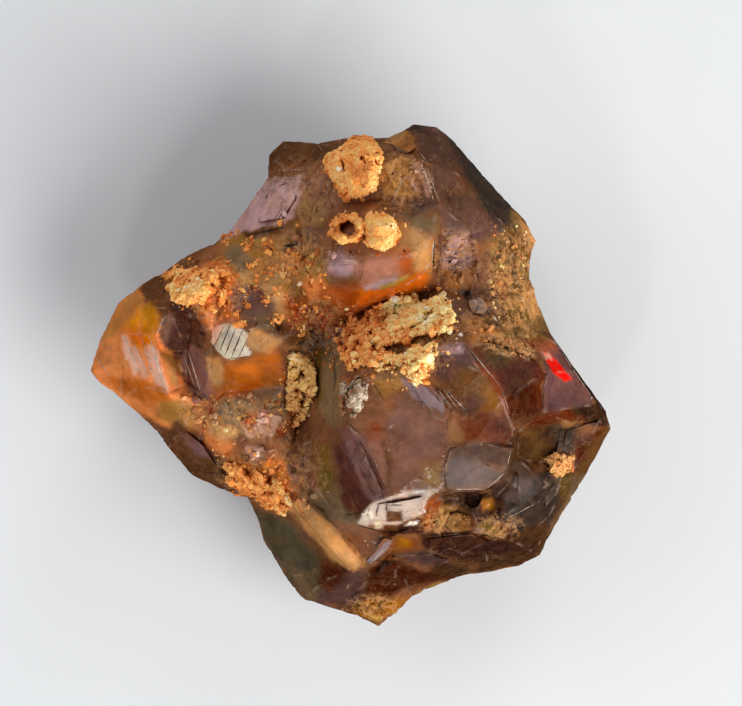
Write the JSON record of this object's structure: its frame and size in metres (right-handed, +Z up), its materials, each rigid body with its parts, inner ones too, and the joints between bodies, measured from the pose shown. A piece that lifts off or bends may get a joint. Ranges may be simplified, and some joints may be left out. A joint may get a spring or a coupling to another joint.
{
  "type": "rainbow garnet crystal cluster",
  "caption": "Loose cluster of intergrown amber to mauve-brown garnet crystals with flat faces, growth steps and patches of ochre crust, resting on its broken base.",
  "frame": {"origin": "centre of the bounding box's floor, at the height of the flat broken base", "axes": "+X across the cluster from the pointed amber tip towards the large dark crystal, +Y across it towards the upper crystals, +Z up from the broken base through the summit"},
  "size_m": [0.013, 0.0126, 0.0073],
  "materials": {
    "garnet": "glossy crystal faces, amber to mauve brown, partly see-through",
    "ochre": "rough granular ochre crust",
    "grey_grains": "sparkling pale grey grains",
    "pale_ochre": "rough granular pale ochre crust",
    "tan_crust": "rough tan crust"
  },
  "bodies": {
    "root": {"garnet_cluster": "garnet", "ochre_clump_summit": "ochre", "ochre_ring": "ochre", "ochre_knob": "ochre", "ochre_crust_centre": "ochre", "grey_grain_patch": "grey_grains", "ochre_crust_shoulder": "pale_ochre", "ochre_leaf_crust": "pale_ochre", "ochre_band_lower": "pale_ochre", "tan_lumps_right": "tan_crust"}
  },
  "joints": []
}
